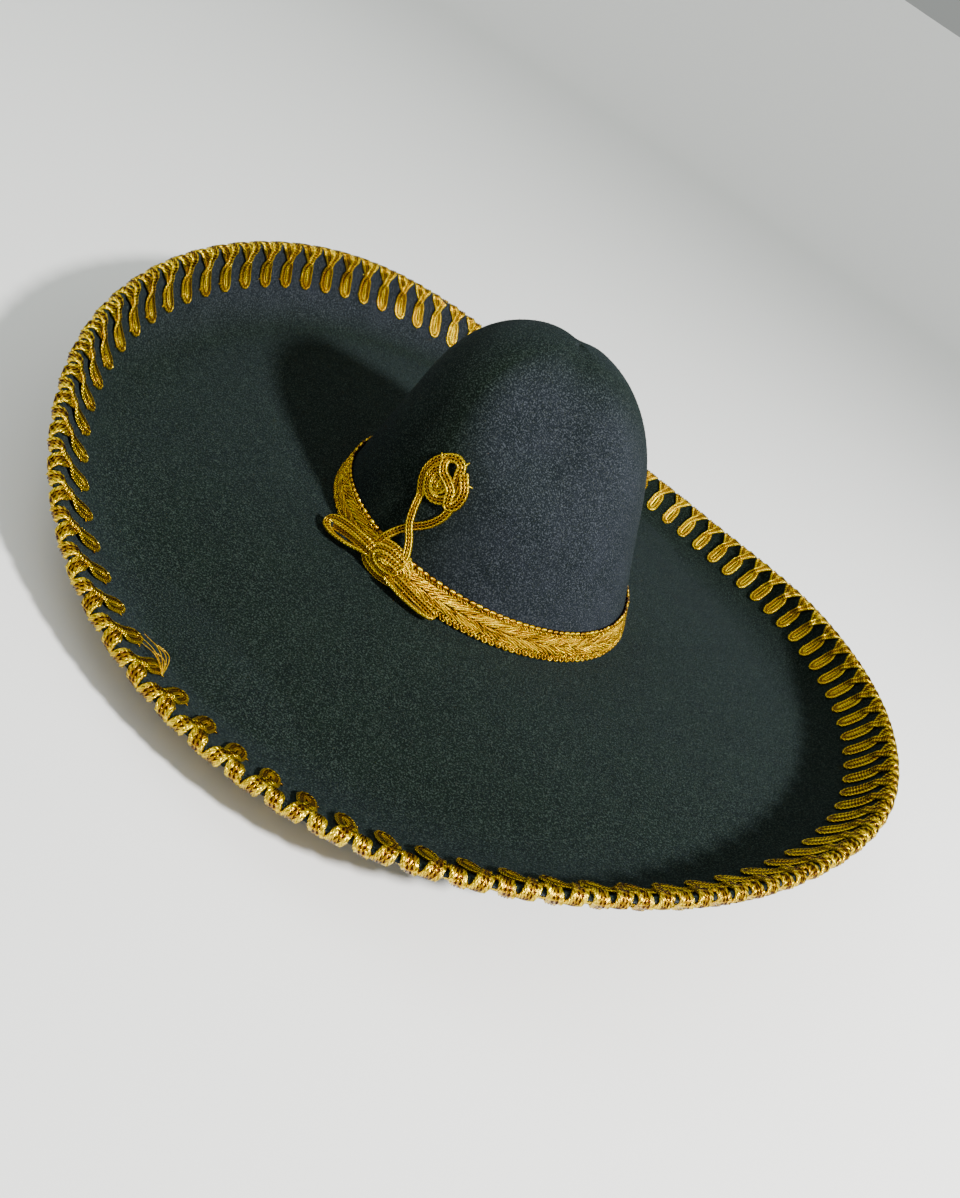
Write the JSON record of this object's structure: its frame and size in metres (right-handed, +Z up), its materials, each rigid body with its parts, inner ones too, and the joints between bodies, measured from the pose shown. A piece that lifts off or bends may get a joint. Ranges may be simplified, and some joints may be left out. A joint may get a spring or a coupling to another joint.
{
  "type": "charro sombrero",
  "caption": "Wide-brimmed black felt sombrero with a domed dented crown, curled rim, gold band, looped gold braid on the rim and a gold bow with rosette.",
  "frame": {"origin": "middle of the hat's box on the surface that it rests on", "axes": "+Z up through the crown; the long way of the head opening lies near X and the two raised ends of the brim near +X and -X; the bow is on the -Y side"},
  "size_m": [0.5034, 0.5388, 0.157],
  "materials": {
    "black_felt": "short-napped black felt with a green cast",
    "gold_braid": "gold metallic thread, braided"
  },
  "bodies": {
    "root": {"crown": "black_felt", "brim": "black_felt", "hat_band": "gold_braid", "rim_trim": "gold_braid", "bow_knot": "gold_braid", "bow_loop": "gold_braid", "bow_tail": "gold_braid", "rosette_cord_left": "gold_braid", "rosette_cord_right": "gold_braid", "rosette": "gold_braid"}
  },
  "joints": []
}
